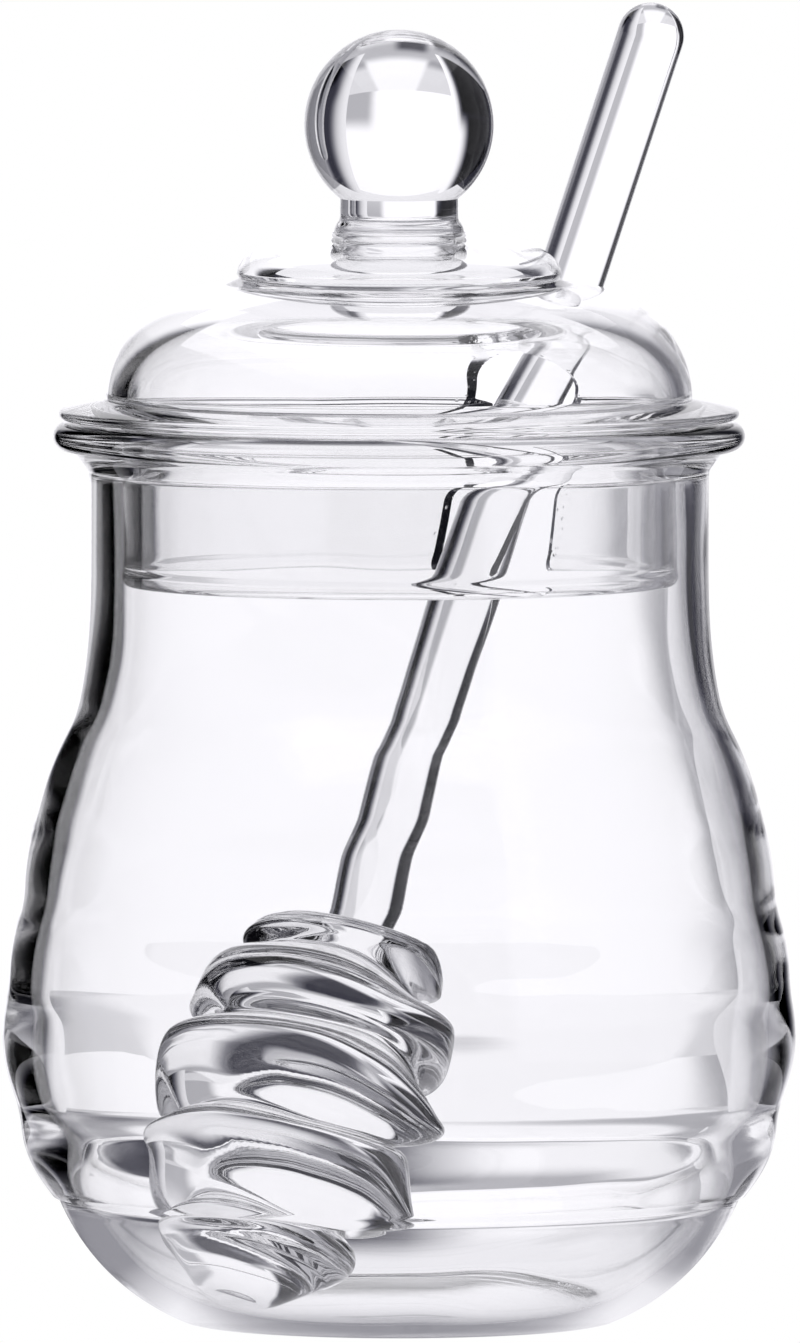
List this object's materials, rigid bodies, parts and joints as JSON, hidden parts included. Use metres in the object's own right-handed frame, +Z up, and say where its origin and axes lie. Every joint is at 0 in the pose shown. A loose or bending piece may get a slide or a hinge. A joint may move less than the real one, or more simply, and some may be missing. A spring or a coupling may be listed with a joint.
{
  "type": "glass honey jar",
  "caption": "Clear glass honey jar with a ribbed belly, a stepped glass lid with a ball knob, and a ridged glass dipper that leans out through a notch in the lid. Empty.",
  "frame": {"origin": "centre of the jar's flat foot, on the table", "axes": "+Z up, out of the jar's mouth; -Y towards the viewer of the picture; +X to the viewer's right"},
  "size_m": [0.0852, 0.0866, 0.1402],
  "materials": {
    "jar_glass": "clear, blown, with soft ribs",
    "lid_glass": "clear, fire-polished edges",
    "dipper_glass": "clear, solid rod and head"
  },
  "bodies": {
    "root": {"jar": "jar_glass", "lid": "lid_glass", "dipper": "dipper_glass"}
  },
  "joints": []
}
